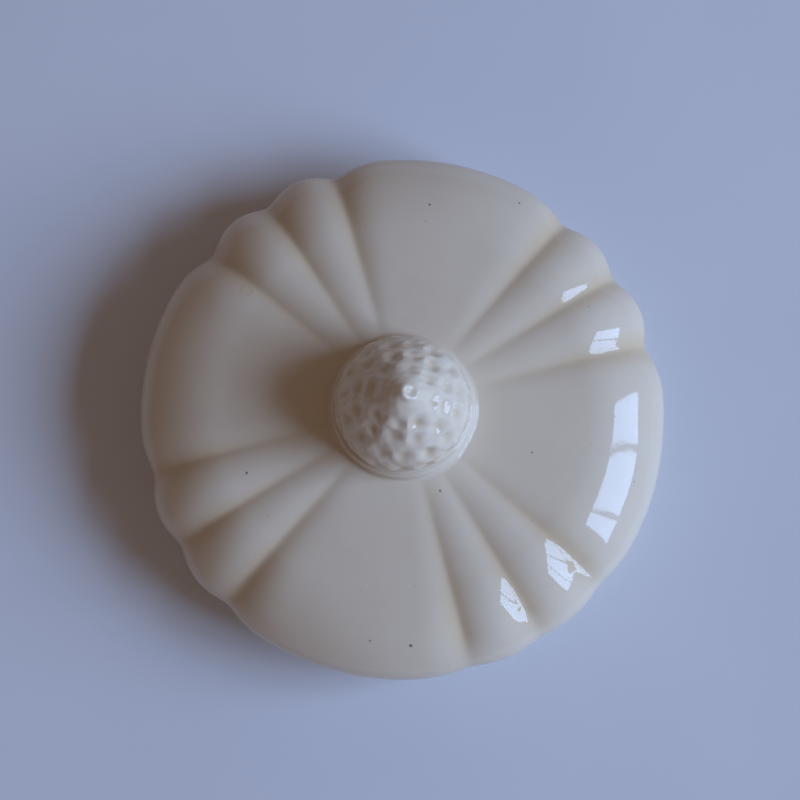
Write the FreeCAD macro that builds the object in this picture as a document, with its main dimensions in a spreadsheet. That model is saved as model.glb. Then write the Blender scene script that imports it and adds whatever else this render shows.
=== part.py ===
"""Lobed earthenware jar lid with a berry knob.

The lid's frame has its origin at the centre of the seat, the flat ring that lands on the
jar's rim, with +Z up along the lid's axis. The middle groove of one pair of narrow lobes
lies on +X, and the pattern of lobes repeats every quarter turn.
"""
import FreeCAD, Part
import math
import os

import Sketcher
from FreeCAD import Placement, Rotation, Vector

# Driving dimensions, in millimetres and degrees.
SIZES = [
    ("rim_radius", 50.0, "widest radius of the dome, at the crest of the lobes"),
    ("lip_radius", 1.5, "round lower edge of the rim, below the widest circle"),
    ("shoulder_radius", 6.0, "arc that turns the dome down to the rim"),
    ("shoulder_slope", 45.0, "slope of the dome where that arc starts"),
    ("haunch_radius", 23.0, "arc between the crown and the shoulder"),
    ("crown_radius", 300.0, "arc of the nearly flat crown"),
    ("wall", 3.8, "thickness of the dome"),
    ("seat_width", 6.0, "from the rim in to the flange"),
    ("flange_wall", 3.2, "thickness of the locating flange"),
    ("flange_depth", 10.0, "reach of the flange below the seat"),
    ("spigot_relief", 0.5, "how far the flange steps in below the seat"),
    ("flange_luting", 2.4, "height of the flange that is luted inside the dome"),
    ("flange_edge", 0.8, "rounding of the flange's lower edges"),
    ("flange_slip", 1.3, "leg of the slip bead above the flange"),
    ("lobe_groups", 4, "pairs of narrow lobes round the lid"),
    ("lobe_pitch", 17.0, "angle between two neighbouring grooves of a pair"),
    ("groove_depth", 1.6, "depth of a groove over the haunch and the rim"),
    ("groove_half_width", 7.0, "from the bottom of a groove to the crest beside it"),
    ("groove_lift", 0.3, "height of a groove's line above the crown at the axis"),
    ("groove_overrun", 3.0, "how far the groove cutters reach past the clay"),
    ("foot_radius", 13.4, "outer radius of the knob's foot ring"),
    ("foot_height", 2.5, "height of the foot above the crown at the axis"),
    ("foot_edge", 1.2, "rounding of the foot's upper edge"),
    ("foot_slip", 0.8, "leg of the slip bead round the foot"),
    ("berry_base_radius", 12.1, "radius of the berry where it stands on the foot"),
    ("berry_radius", 12.6, "widest radius of the berry"),
    ("berry_waist", 3.2, "height of the widest circle above the foot"),
    ("berry_height", 19.0, "height of the berry above the foot"),
    ("berry_shoulder_radius", 8.0, "arc that turns from the berry's waist to its flank"),
    ("berry_shoulder_turn", 60.0, "slope of the berry where its shoulder meets its flank"),
    ("berry_nose_radius", 2.2, "rounding of the berry's tip"),
    ("berry_tuck_radius", 10.5, "arc that tucks the berry in to its base"),
    ("dimple_radius", 2.6, "radius of the ball-shaped dimples"),
    ("dimple_depth", 0.5, "depth of a dimple in the middle"),
    ("dimple_shoulder_row", 82.0, "slope of the berry at the row of dimples on its shoulder"),
    ("dimple_first_row", 0.12, "share of the flank below its lowest row of dimples"),
    ("dimple_row_pitch", 0.27, "share of the flank from one row of dimples to the next"),
]

# Dimples in the shoulder's row, and in each row of the flank from the shoulder up.
SHOULDER_DIMPLES = 16
DIMPLE_COUNTS = [15, 12, 8]

# Derived measures, written as expressions on the sheet so that every piece shares them.
HAUNCH_X = ("(Sizes.rim_radius - Sizes.shoulder_radius"
            " + (Sizes.shoulder_radius - Sizes.haunch_radius) * sin(Sizes.shoulder_slope))")
HAUNCH_Z = ("(Sizes.lip_radius"
            " + (Sizes.shoulder_radius - Sizes.haunch_radius) * cos(Sizes.shoulder_slope))")
CROWN_SINE = f"({HAUNCH_X} / (Sizes.crown_radius - Sizes.haunch_radius))"
CROWN_COSINE = f"sqrt(1 - {CROWN_SINE}^2)"
CROWN_CENTRE = f"({HAUNCH_Z} - (Sizes.crown_radius - Sizes.haunch_radius) * {CROWN_COSINE})"
CROWN_TOP = f"({CROWN_CENTRE} + Sizes.crown_radius)"
FLANGE_RADIUS = "(Sizes.rim_radius - Sizes.seat_width)"
FOOT_TOP = f"({CROWN_TOP} + Sizes.foot_height)"
BERRY_WAIST_Z = f"({FOOT_TOP} + Sizes.berry_waist)"
NOSE_RISE = "(Sizes.berry_height - Sizes.berry_nose_radius - Sizes.berry_waist)"
SHOULDER_X = "(Sizes.berry_radius - Sizes.berry_shoulder_radius)"
SHOULDER_SINE = "sin(Sizes.berry_shoulder_turn)"
SHOULDER_COSINE = "cos(Sizes.berry_shoulder_turn)"
NOSE_GAP = "(Sizes.berry_shoulder_radius - Sizes.berry_nose_radius)"
FLANK_GROWTH = (f"(({SHOULDER_X}^2 + {NOSE_RISE}^2 - {NOSE_GAP}^2)"
                f" / (2 * ({NOSE_GAP} - {NOSE_RISE} * {SHOULDER_COSINE}"
                f" + {SHOULDER_X} * {SHOULDER_SINE})))")
FLANK_RADIUS = f"(Sizes.berry_shoulder_radius + {FLANK_GROWTH})"
FLANK_X = f"({SHOULDER_X} - {FLANK_GROWTH} * {SHOULDER_SINE})"
FLANK_Z = f"({BERRY_WAIST_Z} - {FLANK_GROWTH} * {SHOULDER_COSINE})"
NOSE_Z = f"({BERRY_WAIST_Z} + {NOSE_RISE})"
NOSE_REACH = f"({FLANK_GROWTH} + {NOSE_GAP})"


def make_sheet(doc):
    """Put the driving dimensions in the sheet, one row each, and name every cell."""
    sheet = doc.addObject("Spreadsheet::Sheet", "Sizes")
    for row, (alias, value, meaning) in enumerate(SIZES, start=1):
        sheet.set(f"A{row}", alias)
        sheet.set(f"B{row}", str(value))
        sheet.set(f"C{row}", meaning)
        sheet.setAlias(f"B{row}", alias)
    doc.recompute()
    return sheet


def value_of(doc, expression):
    """Work out one expression on the sheet as a plain number."""
    result = doc.Sizes.evalExpression(str(expression))
    return float(getattr(result, "Value", result))


def make_body(doc, label):
    """Start a sub-part: one body, named as its node."""
    body = doc.addObject("PartDesign::Body", label)
    body.Label = label
    body.Placement = Placement()
    return body


def origin_feature(body, role):
    """Find one of the body's own origin planes or axes by its role."""
    for feature in body.Origin.OriginFeatures:
        if feature.Role == role:
            return feature
    raise ValueError(f"{body.Label} has no {role}")


def make_sketch(body, name, plane, turn=0):
    """Attach a sketch to an upright origin plane, turned about the lid's axis."""
    sketch = body.newObject("Sketcher::SketchObject", name)
    sketch.AttachmentSupport = [(origin_feature(body, plane), "")]
    sketch.MapMode = "FlatFace"
    if turn:
        sketch.AttachmentOffset = Placement(Vector(), Rotation(Vector(0, 1, 0), 1))
        sketch.setExpression("AttachmentOffset.Rotation.Angle", turn)
    return sketch


def arc_between(start, end, radius, centre_side):
    """Draw the short arc of a radius between two points.

    centre_side is 1 when the centre lies to the left of the way from start to end.
    """
    chord = end - start
    middle = (start + end) * 0.5
    left = Vector(-chord.y, chord.x, 0).normalize()
    reach = math.sqrt(max(radius ** 2 - (chord.Length / 2) ** 2, 0))
    centre = middle + left * (reach * centre_side)
    circle = Part.Circle(centre, Vector(0, 0, 1), radius)
    first, last = (start, end) if centre_side > 0 else (end, start)
    return Part.ArcOfCircle(circle, circle.parameter(first), circle.parameter(last))


def end_points(side):
    """Say which sketcher points of an edge are its first and last on the way round."""
    return (2, 1) if side < 0 else (1, 2)


def draw_outline(doc, sketch, corners, closed=True):
    """Draw an outline from its corners and bind every size in it to the sheet.

    Each corner is (across, up, bend): two expressions for its place, and the edge that
    leaves it, which is None for a straight one or (radius, side) for an arc.
    """
    points = [Vector(value_of(doc, across), value_of(doc, up), 0) for across, up, _ in corners]
    edge_count = len(corners) if closed else len(corners) - 1
    ends = []
    for index in range(edge_count):
        start, end = points[index], points[(index + 1) % len(points)]
        bend = corners[index][2]
        if bend is None:
            sketch.addGeometry(Part.LineSegment(start, end))
            ends.append((1, 2))
        else:
            radius, side = bend
            sketch.addGeometry(arc_between(start, end, value_of(doc, radius), side))
            ends.append(end_points(side))
    for index in range(1, edge_count):
        sketch.addConstraint(Sketcher.Constraint(
            "Coincident", index - 1, ends[index - 1][1], index, ends[index][0]))
    if closed:
        sketch.addConstraint(Sketcher.Constraint(
            "Coincident", edge_count - 1, ends[-1][1], 0, ends[0][0]))
    for index, (across, up, _) in enumerate(corners):
        edge = min(index, edge_count - 1)
        point = ends[edge][0] if index < edge_count else ends[edge][1]
        bind_place(doc, sketch, edge, point, "DistanceX", across, f"across{index}")
        bind_place(doc, sketch, edge, point, "DistanceY", up, f"up{index}")
    for index in range(edge_count):
        bend = corners[index][2]
        if bend is not None:
            bind_size(doc, sketch, ["Radius", index], bend[0], f"radius{index}")


def bind_place(doc, sketch, edge, point, direction, expression, name):
    """Tie one coordinate of a point to an expression, or to an axis where it is zero."""
    if expression == "0":
        axis = -2 if direction == "DistanceX" else -1
        sketch.addConstraint(Sketcher.Constraint("PointOnObject", edge, point, axis))
    else:
        bind_size(doc, sketch, [direction, edge, point], expression, name)


def bind_size(doc, sketch, kind_and_places, expression, name):
    """Add a constraint with a size and bind that size to an expression."""
    value = value_of(doc, expression)
    index = sketch.addConstraint(Sketcher.Constraint(*kind_and_places, value))
    sketch.renameConstraint(index, name)
    sketch.setExpression(f"Constraints.{name}", str(expression))


def revolve(body, sketch, name):
    """Turn a sketch about its upright axis, which is the lid's axis."""
    feature = body.newObject("PartDesign::Revolution", name)
    feature.Profile = sketch
    feature.ReferenceAxis = (sketch, ["V_Axis"])
    feature.Angle = 360
    return feature


def repeat_round(body, features, name, count):
    """Repeat features round the lid's axis and make the result the body's tip."""
    pattern = body.newObject("PartDesign::PolarPattern", name)
    pattern.Originals = features
    pattern.Axis = (origin_feature(body, "Z_Axis"), [""])
    pattern.Angle = 360
    pattern.Occurrences = int(count)
    body.Tip = pattern
    return pattern


def crown_point(radius, centre_height):
    """Give the end of a crown arc, where it meets the haunch, from its radius."""
    return f"({radius}) * {CROWN_SINE}", f"{centre_height} + ({radius}) * {CROWN_COSINE}"


def haunch_point(radius):
    """Give the end of a haunch arc, where it meets the shoulder, from its radius."""
    across = f"{HAUNCH_X} + ({radius}) * sin(Sizes.shoulder_slope)"
    up = f"{HAUNCH_Z} + ({radius}) * cos(Sizes.shoulder_slope)"
    return across, up


def draw_dome_section(doc, sketch):
    """Draw the dome's wall: crown, haunch, shoulder, lip, seat and the plain inside."""
    inner_crown = "Sizes.crown_radius - Sizes.wall"
    inner_haunch = "Sizes.haunch_radius - Sizes.wall"
    flange_reach = f"({FLANGE_RADIUS} - {HAUNCH_X})"
    ceiling_edge = f"{HAUNCH_Z} + sqrt(({inner_haunch})^2 - {flange_reach}^2)"
    crown_across, crown_up = crown_point("Sizes.crown_radius", CROWN_CENTRE)
    haunch_across, haunch_up = haunch_point("Sizes.haunch_radius")
    inner_across, inner_up = crown_point(inner_crown, CROWN_CENTRE)
    draw_outline(doc, sketch, [
        ("0", f"{CROWN_TOP} - Sizes.wall", None),
        ("0", CROWN_TOP, ("Sizes.crown_radius", -1)),
        (crown_across, crown_up, ("Sizes.haunch_radius", -1)),
        (haunch_across, haunch_up, ("Sizes.shoulder_radius", -1)),
        ("Sizes.rim_radius", "Sizes.lip_radius", ("Sizes.lip_radius", -1)),
        ("Sizes.rim_radius - Sizes.lip_radius", "0", None),
        (FLANGE_RADIUS, "0", None),
        (FLANGE_RADIUS, ceiling_edge, (inner_haunch, 1)),
        (inner_across, inner_up, (inner_crown, 1)),
    ])


def draw_groove_line(doc, sketch):
    """Draw the line that a groove's bottom follows, from above the crown to the rim.

    It lies groove_lift above the crown at the axis, sinks through it and runs parallel to
    the haunch and the shoulder, groove_depth below them. The arc over the crown is the one
    that starts level at the axis and meets the haunch arc smoothly.
    """
    haunch = "(Sizes.haunch_radius - Sizes.groove_depth)"
    shoulder = "(Sizes.shoulder_radius - Sizes.groove_depth)"
    top = f"({CROWN_TOP} + Sizes.groove_lift)"
    excess = f"({top} - {HAUNCH_Z} - {haunch})"
    drop = f"(({HAUNCH_X}^2 - {excess}^2) / (2 * {excess}))"
    radius = f"({haunch} + {excess} + {drop})"
    across = f"{radius} * {HAUNCH_X} / ({radius} - {haunch})"
    up = f"{HAUNCH_Z} - {drop} + {radius} * {drop} / ({radius} - {haunch})"
    haunch_across, haunch_up = haunch_point(haunch)
    draw_outline(doc, sketch, [
        ("0", top, (radius, -1)),
        (across, up, (haunch, -1)),
        (haunch_across, haunch_up, (shoulder, -1)),
        ("Sizes.rim_radius - Sizes.groove_depth", "Sizes.lip_radius", None),
        ("Sizes.rim_radius - Sizes.groove_depth", "-Sizes.groove_overrun", None),
    ], closed=False)


def draw_groove_section(doc, sketch):
    """Draw a groove's section: two bulging sides that meet in a valley."""
    bottom = f"({CROWN_TOP} + Sizes.groove_lift)"
    crest = f"{bottom} + Sizes.groove_depth"
    ceiling = f"{crest} + Sizes.groove_overrun"
    side = ("(Sizes.groove_half_width^2 + Sizes.groove_depth^2)"
            " / (2 * Sizes.groove_depth)")
    draw_outline(doc, sketch, [
        ("-Sizes.groove_half_width", crest, (side, -1)),
        ("0", bottom, (side, -1)),
        ("Sizes.groove_half_width", crest, None),
        ("Sizes.groove_half_width", ceiling, None),
        ("-Sizes.groove_half_width", ceiling, None),
    ])


def cut_groove(doc, body, name, turn):
    """Cut one groove from the knob to the rim, turned about the lid's axis."""
    line = make_sketch(body, f"{name}_line", "XZ_Plane", turn)
    draw_groove_line(doc, line)
    section = make_sketch(body, f"{name}_section", "YZ_Plane", turn)
    draw_groove_section(doc, section)
    doc.recompute()
    groove = body.newObject("PartDesign::SubtractivePipe", name)
    groove.Profile = section
    groove.Spine = line
    groove.Mode = "Standard"
    groove.Transition = "Transformed"
    body.Tip = groove
    return groove


def make_lid_dome(doc):
    """Build the pressed dome: a turned shell with twelve grooves round its lobes."""
    body = make_body(doc, "lid_dome")
    section = make_sketch(body, "dome_section", "XZ_Plane")
    draw_dome_section(doc, section)
    revolve(body, section, "dome_shell")
    doc.recompute()
    grooves = [
        cut_groove(doc, body, "groove_before", "-Sizes.lobe_pitch"),
        cut_groove(doc, body, "groove_middle", 0),
        cut_groove(doc, body, "groove_after", "Sizes.lobe_pitch"),
    ]
    doc.recompute()
    repeat_round(body, grooves, "groove_pattern", doc.Sizes.lobe_groups)
    doc.recompute()


def make_locating_flange(doc):
    """Build the ring that is luted inside the dome and drops into the jar's mouth."""
    body = make_body(doc, "locating_flange")
    section = make_sketch(body, "flange_section", "XZ_Plane")
    inner = f"{FLANGE_RADIUS} - Sizes.flange_wall"
    outer = f"{FLANGE_RADIUS} - Sizes.spigot_relief"
    foot = "-Sizes.flange_depth"
    rounding = ("Sizes.flange_edge", 1)
    draw_outline(doc, section, [
        (inner, "Sizes.flange_luting", None),
        (inner, f"{foot} + Sizes.flange_edge", rounding),
        (f"{inner} + Sizes.flange_edge", foot, None),
        (f"{outer} - Sizes.flange_edge", foot, rounding),
        (outer, f"{foot} + Sizes.flange_edge", None),
        (outer, "0", None),
        (FLANGE_RADIUS, "0", None),
        (FLANGE_RADIUS, "Sizes.flange_luting", None),
    ])
    revolve(body, section, "flange_ring")
    doc.recompute()


def make_flange_slip_joint(doc):
    """Build the smoothed bead of slip in the corner above the flange."""
    body = make_body(doc, "flange_slip_joint")
    section = make_sketch(body, "flange_slip_section", "XZ_Plane")
    draw_outline(doc, section, [
        (f"{FLANGE_RADIUS} - Sizes.flange_slip", "Sizes.flange_luting", None),
        (FLANGE_RADIUS, "Sizes.flange_luting", None),
        (FLANGE_RADIUS, "Sizes.flange_luting + Sizes.flange_slip", ("Sizes.flange_slip", 1)),
    ])
    revolve(body, section, "flange_slip_ring")
    doc.recompute()


def crown_height(radius):
    """Give the height of the crown's surface at a radius from the axis."""
    return f"({CROWN_CENTRE} + sqrt(Sizes.crown_radius^2 - ({radius})^2))"


def make_knob_foot(doc):
    """Build the smooth round foot, its underside curved to sit on the crown."""
    body = make_body(doc, "knob_foot")
    section = make_sketch(body, "foot_section", "XZ_Plane")
    shoulder = f"{FOOT_TOP} - Sizes.foot_edge"
    draw_outline(doc, section, [
        ("0", CROWN_TOP, ("Sizes.crown_radius", -1)),
        ("Sizes.foot_radius", crown_height("Sizes.foot_radius"), None),
        ("Sizes.foot_radius", shoulder, ("Sizes.foot_edge", 1)),
        ("Sizes.foot_radius - Sizes.foot_edge", FOOT_TOP, None),
        ("0", FOOT_TOP, None),
    ])
    revolve(body, section, "foot_disc")
    doc.recompute()


def make_knob_slip_joint(doc):
    """Build the smoothed bead of slip in the corner between the foot and the crown."""
    body = make_body(doc, "knob_slip_joint")
    section = make_sketch(body, "foot_slip_section", "XZ_Plane")
    outer = "Sizes.foot_radius + Sizes.foot_slip"
    top = f"{crown_height('Sizes.foot_radius')} + Sizes.foot_slip"
    draw_outline(doc, section, [
        ("Sizes.foot_radius", crown_height("Sizes.foot_radius"), ("Sizes.crown_radius", -1)),
        (outer, crown_height(outer), ("Sizes.foot_slip", -1)),
        ("Sizes.foot_radius", top, None),
    ])
    revolve(body, section, "foot_slip_ring")
    doc.recompute()


def draw_berry_section(doc, sketch):
    """Draw half the berry: a tuck in to the foot, a shoulder, a steep flank and a nose."""
    share = f"(Sizes.berry_nose_radius / {NOSE_REACH})"
    draw_outline(doc, sketch, [
        ("0", FOOT_TOP, None),
        ("Sizes.berry_base_radius", FOOT_TOP, ("Sizes.berry_tuck_radius", 1)),
        ("Sizes.berry_radius", BERRY_WAIST_Z, ("Sizes.berry_shoulder_radius", 1)),
        (f"{SHOULDER_X} + Sizes.berry_shoulder_radius * {SHOULDER_SINE}",
         f"{BERRY_WAIST_Z} + Sizes.berry_shoulder_radius * {SHOULDER_COSINE}",
         (FLANK_RADIUS, 1)),
        (f"-{FLANK_X} * {share}", f"{NOSE_Z} + ({NOSE_Z} - {FLANK_Z}) * {share}",
         ("Sizes.berry_nose_radius", 1)),
        ("0", f"{FOOT_TOP} + Sizes.berry_height", None),
    ])


def shoulder_place():
    """Say where the middle of a dimple's ball stands over the shoulder: across and up."""
    reach = "(Sizes.berry_shoulder_radius + Sizes.dimple_radius - Sizes.dimple_depth)"
    return (f"({SHOULDER_X} + {reach} * sin(Sizes.dimple_shoulder_row))",
            f"({BERRY_WAIST_Z} + {reach} * cos(Sizes.dimple_shoulder_row))")


def flank_place(row):
    """Say where the middle of a dimple's ball stands over one row of the flank.

    The way out from the flank's centre is a blend of its two end directions, so the rows
    stay on the flank whatever its sizes are.
    """
    reach = f"({FLANK_RADIUS} + Sizes.dimple_radius - Sizes.dimple_depth)"
    share = f"(Sizes.dimple_first_row + {row} * Sizes.dimple_row_pitch)"
    out = f"({SHOULDER_SINE} * (1 - {share}) - {FLANK_X} / {NOSE_REACH} * {share})"
    up = (f"({SHOULDER_COSINE} * (1 - {share})"
          f" + ({NOSE_Z} - {FLANK_Z}) / {NOSE_REACH} * {share})")
    length = f"sqrt({out}^2 + {up}^2)"
    return (f"({FLANK_X} + {reach} * {out} / {length})",
            f"({FLANK_Z} + {reach} * {up} / {length})")


def cut_dimple_row(doc, body, row, count, place):
    """Press one row of ball-shaped dimples into the berry.

    Every other row is turned by half the spacing of its dimples.
    """
    across, up = place
    turn = (row % 2) * 180 / count
    dimple = body.newObject("PartDesign::SubtractiveSphere", f"dimple{row}")
    dimple.setExpression("Radius", "Sizes.dimple_radius")
    dimple.setExpression("Placement.Base.x", f"{across} * cos({turn})")
    dimple.setExpression("Placement.Base.y", f"{across} * sin({turn})")
    dimple.setExpression("Placement.Base.z", up)
    body.Tip = dimple
    doc.recompute()
    repeat_round(body, [dimple], f"dimple_row{row}", count)
    doc.recompute()


def make_knob_berry(doc):
    """Build the berry that the lid is lifted by, with its rows of dimples."""
    body = make_body(doc, "knob_berry")
    section = make_sketch(body, "berry_section", "XZ_Plane")
    draw_berry_section(doc, section)
    revolve(body, section, "berry_core")
    doc.recompute()
    cut_dimple_row(doc, body, 0, SHOULDER_DIMPLES, shoulder_place())
    for row, count in enumerate(DIMPLE_COUNTS):
        cut_dimple_row(doc, body, row + 1, count, flank_place(row))


def check_document(doc):
    """Stop if an object failed to compute or a body has no single valid solid."""
    for item in doc.Objects:
        if "Invalid" in item.State or "Error" in item.State:
            raise RuntimeError(f"{item.Name} failed: {item.State}")
    for body in bodies_of(doc):
        shape = body.Shape
        if shape.isNull() or not shape.isValid() or len(shape.Solids) != 1:
            raise RuntimeError(f"{body.Label} has no single valid solid")


def bodies_of(doc):
    """List the sub-parts of the document."""
    return [item for item in doc.Objects if item.TypeId == "PartDesign::Body"]


def export_parts(doc):
    """Write each sub-part to a file with its own name."""
    os.makedirs("parts", exist_ok=True)
    for body in bodies_of(doc):
        body.Shape.exportStep(f"parts/{body.Label}.step")
        box = body.Shape.optimalBoundingBox(False)
        print(f"{body.Label}: volume {body.Shape.Volume:.1f} mm3,"
              f" z {box.ZMin:.2f} to {box.ZMax:.2f}, width {box.XLength:.2f}")


def main():
    """Build the lid from its sheet and write its sub-parts."""
    doc = FreeCAD.newDocument("jar_lid")
    make_sheet(doc)
    make_lid_dome(doc)
    make_locating_flange(doc)
    make_flange_slip_joint(doc)
    make_knob_foot(doc)
    make_knob_slip_joint(doc)
    make_knob_berry(doc)
    doc.recompute()
    check_document(doc)
    export_parts(doc)


main()
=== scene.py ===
"""A lobed, cream-glazed jar lid with a berry knob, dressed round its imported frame.

Everything is in metres in the lid's own frame: the origin is the centre of the seat, +Z is up
through the knob, and the middle groove of one pair of narrow lobes lies on +X.
"""
import logging
import math
from dataclasses import dataclass, field
from enum import Enum
from typing import Any, Sequence

import bpy
import numpy as np
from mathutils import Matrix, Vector


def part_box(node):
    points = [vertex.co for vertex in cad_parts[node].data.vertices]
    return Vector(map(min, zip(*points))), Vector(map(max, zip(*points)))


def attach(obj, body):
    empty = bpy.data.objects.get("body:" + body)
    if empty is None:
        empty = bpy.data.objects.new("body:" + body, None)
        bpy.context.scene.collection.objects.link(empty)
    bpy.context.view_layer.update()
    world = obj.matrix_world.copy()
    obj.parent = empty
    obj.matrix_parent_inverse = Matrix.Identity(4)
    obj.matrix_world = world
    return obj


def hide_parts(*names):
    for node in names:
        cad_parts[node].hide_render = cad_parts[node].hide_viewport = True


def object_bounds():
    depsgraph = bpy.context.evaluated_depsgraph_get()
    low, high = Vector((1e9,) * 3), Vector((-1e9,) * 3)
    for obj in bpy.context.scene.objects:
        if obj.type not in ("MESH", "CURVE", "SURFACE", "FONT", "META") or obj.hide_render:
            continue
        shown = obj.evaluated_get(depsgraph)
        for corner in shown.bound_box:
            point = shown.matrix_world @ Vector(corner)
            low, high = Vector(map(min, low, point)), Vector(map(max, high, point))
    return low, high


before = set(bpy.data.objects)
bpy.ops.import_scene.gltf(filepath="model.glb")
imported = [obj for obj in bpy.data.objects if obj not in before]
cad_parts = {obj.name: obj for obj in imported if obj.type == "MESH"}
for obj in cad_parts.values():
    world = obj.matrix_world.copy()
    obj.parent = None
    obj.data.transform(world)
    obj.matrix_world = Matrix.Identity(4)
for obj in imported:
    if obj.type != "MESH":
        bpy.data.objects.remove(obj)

MM = 0.001
BODY = "root"

# Radius of the smallest ring beside the axis, where a piece that crosses it is closed.
AXIS_GAP = 0.05 * MM
# Slope in degrees where the crown's arcs begin, just beside the axis.
AXIS_SLOPE = 0.02
# How deep the hidden corner of a bead of slip lies in the clay.
BEDDING = 0.25 * MM

log = logging.getLogger("jar_lid")

frame_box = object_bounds()


# ----------------------------------------
# Shader expressions
# ----------------------------------------


class Wire:
    """One output socket of a shader that takes part in Python expressions."""

    def __init__(self, graph: "Graph", socket: bpy.types.NodeSocket) -> None:
        """Keep the graph that the socket belongs to, and the socket."""
        self.graph = graph
        self.socket = socket

    def _join(self, operation: str, first: Any, second: Any = 0.0) -> "Wire":
        """Add one Math node and return its result."""
        return self.graph.node("ShaderNodeMath", {"operation": operation}, {0: first, 1: second})

    def __add__(self, other: Any) -> "Wire":
        """Sum of two values."""
        return self._join("ADD", self, other)

    def __sub__(self, other: Any) -> "Wire":
        """Difference of two values."""
        return self._join("SUBTRACT", self, other)

    def __rsub__(self, other: Any) -> "Wire":
        """Difference with a plain number on the left."""
        return self._join("SUBTRACT", other, self)

    def __mul__(self, other: Any) -> "Wire":
        """Product of two values."""
        return self._join("MULTIPLY", self, other)

    def __truediv__(self, other: Any) -> "Wire":
        """Quotient of two values."""
        return self._join("DIVIDE", self, other)

    __radd__ = __add__
    __rmul__ = __mul__

    def ramp(self, low: float, high: float, start: float = 0.0, end: float = 1.0) -> "Wire":
        """Go smoothly from start to end while the value goes from low to high.

        Args:
            low: The value where the ramp begins.
            high: The value where it stops; it may be below low.
            start: What the ramp gives up to low.
            end: What the ramp gives from high on.

        Returns:
            The ramped value.
        """
        if low > high:
            low, high, start, end = high, low, end, start
        return self.graph.node(
            "ShaderNodeMapRange",
            {"interpolation_type": "SMOOTHSTEP"},
            {"Value": self, "From Min": low, "From Max": high, "To Min": start, "To Max": end},
        )

    def larger(self, other: Any) -> "Wire":
        """The larger of two values."""
        return self._join("MAXIMUM", self, other)


class Graph:
    """The nodes of one material."""

    def __init__(self, name: str) -> None:
        """Start a material that holds only its output."""
        self.material = bpy.data.materials.new(name)
        self.material.use_nodes = True
        self.tree = self.material.node_tree
        self.tree.nodes.clear()
        self.output = self.tree.nodes.new("ShaderNodeOutputMaterial")

    def node(
        self,
        kind: str,
        settings: dict[str, Any] | None = None,
        inputs: dict[Any, Any] | None = None,
        output: Any = None,
    ) -> Wire:
        """Add any node.

        Args:
            kind: The node's type.
            settings: Attributes of the node, set before its sockets.
            inputs: Values or wires for its input sockets, by name or number.
            output: The name or number of the output to return; the first live one if None.

        Returns:
            The chosen output as a wire.
        """
        node = self.tree.nodes.new(kind)
        for key, value in (settings or {}).items():
            setattr(node, key, value)
        for key, value in (inputs or {}).items():
            socket = node.inputs[key]
            if isinstance(value, Wire):
                self.tree.links.new(value.socket, socket)
            else:
                socket.default_value = value
        live = [socket for socket in node.outputs if socket.enabled]
        return Wire(self, live[0] if output is None else node.outputs[output])

    def position(self) -> Wire:
        """The point's place in the lid's frame, in metres."""
        return self.node("ShaderNodeTexCoord", output="Object")

    def part(self, vector: Wire, axis: str) -> Wire:
        """One coordinate, X, Y or Z, of a vector."""
        return self.node("ShaderNodeSeparateXYZ", inputs={0: vector}, output=axis)

    def noise(self, size: float, detail: float = 2.0, seed: float = 0.0) -> Wire:
        """Soft random clouds.

        Args:
            size: The clouds' width in metres.
            detail: How many finer layers they have.
            seed: The place in the noise's fourth dimension.

        Returns:
            A value between 0 and 1 with its middle near 0.5.
        """
        return self.node(
            "ShaderNodeTexNoise",
            {"noise_dimensions": "4D"},
            {"Vector": self.position(), "Scale": 1.0 / size, "Detail": detail, "W": seed},
            output="Fac",
        )

    def dots(self, spacing: float, radius: float, share: float, seed: float) -> Wire:
        """Scattered round dots.

        A dot may stand in each cell of a random pattern of cells; the cell's own random colour
        decides whether it does and how large it is.

        Args:
            spacing: The mean distance between cells in metres.
            radius: The largest dot's radius in metres.
            share: The share of the cells that hold a dot.
            seed: Shifts the pattern.

        Returns:
            1 in the middle of a dot and 0 outside.
        """
        moved = self.node(
            "ShaderNodeVectorMath", {"operation": "ADD"},
            {0: self.position(), 1: (seed, seed * 0.7, seed * 1.3)},
        )
        cells = {"Vector": moved, "Scale": 1.0 / spacing}
        distance = self.node("ShaderNodeTexVoronoi", {"feature": "F1"}, cells, "Distance")
        colour = self.node("ShaderNodeTexVoronoi", {"feature": "F1"}, cells, "Color")
        chance = self.node("ShaderNodeSeparateColor", inputs={0: colour}, output="Red")
        size = chance.ramp(1.0 - share, 1.0)
        reach = size * (radius / spacing)
        return (distance / (reach + 1e-4)).ramp(1.0, 0.55)

    def mix(self, factor: Any, first: Any, second: Any, blend: str = "MIX") -> Wire:
        """Blend two colours by a factor."""
        return self.node(
            "ShaderNodeMix",
            {"data_type": "RGBA", "blend_type": blend},
            {0: factor, 6: first, 7: second},
            output=2,
        )

    def finish(self, shader: Wire) -> bpy.types.Material:
        """Join the surface shader to the output and return the material."""
        self.tree.links.new(shader.socket, self.output.inputs["Surface"])
        return self.material


def colour(red: float, green: float, blue: float) -> tuple[float, float, float, float]:
    """A linear colour with full opacity."""
    return (red, green, blue, 1.0)


# ----------------------------------------
# Surfaces
# ----------------------------------------


class Ends(Enum):
    """How the first and last rings of a surface are closed."""

    POLES = "poles"
    LOOP = "loop"


def arc(centre: Sequence[float], radius: float, start: float, end: float, count: int) -> np.ndarray:
    """Points on an arc in the half-plane of radius and height.

    A point lies at the centre plus the radius times (sine, cosine) of its slope, so a slope of
    0 degrees is the top of the arc and 90 degrees its outermost point.

    Args:
        centre: Radius and height of the arc's centre.
        radius: The arc's radius.
        start: Slope in degrees where the arc begins.
        end: Slope in degrees where it stops.
        count: How many points, both ends included.

    Returns:
        An array of (radius, height) rows.
    """
    slope = np.radians(np.linspace(start, end, count))
    return np.stack([centre[0] + radius * np.sin(slope), centre[1] + radius * np.cos(slope)], 1)


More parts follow.
